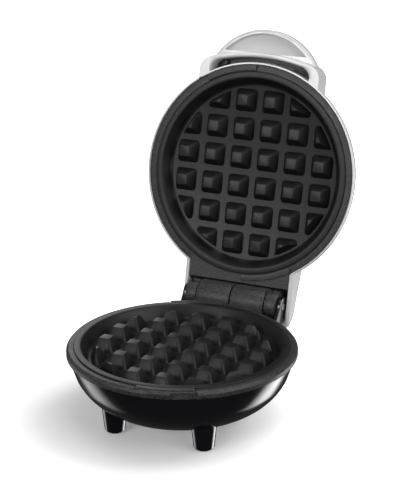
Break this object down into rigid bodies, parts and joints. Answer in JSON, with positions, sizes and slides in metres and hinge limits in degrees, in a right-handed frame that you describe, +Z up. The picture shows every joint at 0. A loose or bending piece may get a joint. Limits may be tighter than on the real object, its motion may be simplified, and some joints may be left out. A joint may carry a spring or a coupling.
{
  "type": "mini waffle maker",
  "caption": "Small round waffle maker with a dark bowl-shaped base on tapered feet, a white hinged lid with a half-round front handle, and two cast grid plates that face each other.",
  "frame": {"origin": "middle of the bounding box of the open waffle maker, on the surface that its feet stand on", "axes": "+Z up, the handle opens towards -Y, the hinge runs along X at the back, X is the axis of symmetry"},
  "size_m": [0.1288, 0.1928, 0.1941],
  "materials": {
    "gloss_black": "glossy moulded black",
    "satin_black": "satin moulded black",
    "gloss_white": "glossy moulded white",
    "nonstick": "dark non-stick coating on cast aluminium",
    "element_sheath": "dull drawn sheath",
    "shield_steel": "bright pressed sheet",
    "control_metal": "plain metal can",
    "block_plastic": "cream moulded plastic",
    "pad_rubber": "soft black rubber",
    "screw_steel": "zinc plated",
    "lens_plastic": "clear red moulded lens",
    "lamp_glass": "small glass lamp"
  },
  "bodies": {
    "base": {"lower_housing": "gloss_black", "base_bezel": "satin_black", "lower_cooking_plate": "nonstick", "lower_heating_element": "element_sheath", "lower_heat_shield": "shield_steel", "thermostat": "control_metal", "thermal_fuse": "control_metal", "terminal_block": "block_plastic", "cord_inlet_bush": "satin_black", "foot_pads": "pad_rubber", "housing_screws": "screw_steel", "hinge_pin": "screw_steel"},
    "lid": {"lid_cover": "gloss_white", "lid_inner_housing": "satin_black", "handle_pocket_liner": "satin_black", "upper_cooking_plate": "nonstick", "upper_heating_element": "element_sheath", "upper_heat_shield": "shield_steel", "upper_plate_screws": "screw_steel", "indicator_lens": "lens_plastic", "indicator_lamp": "lamp_glass"}
  },
  "joints": [
    {"name": "lid_hinge", "type": "hinge", "parent": "base", "child": "lid", "pos_m": [0, 0.04135, 0.043], "axis": [1, 0, 0], "range_deg": [0, 104]}
  ]
}
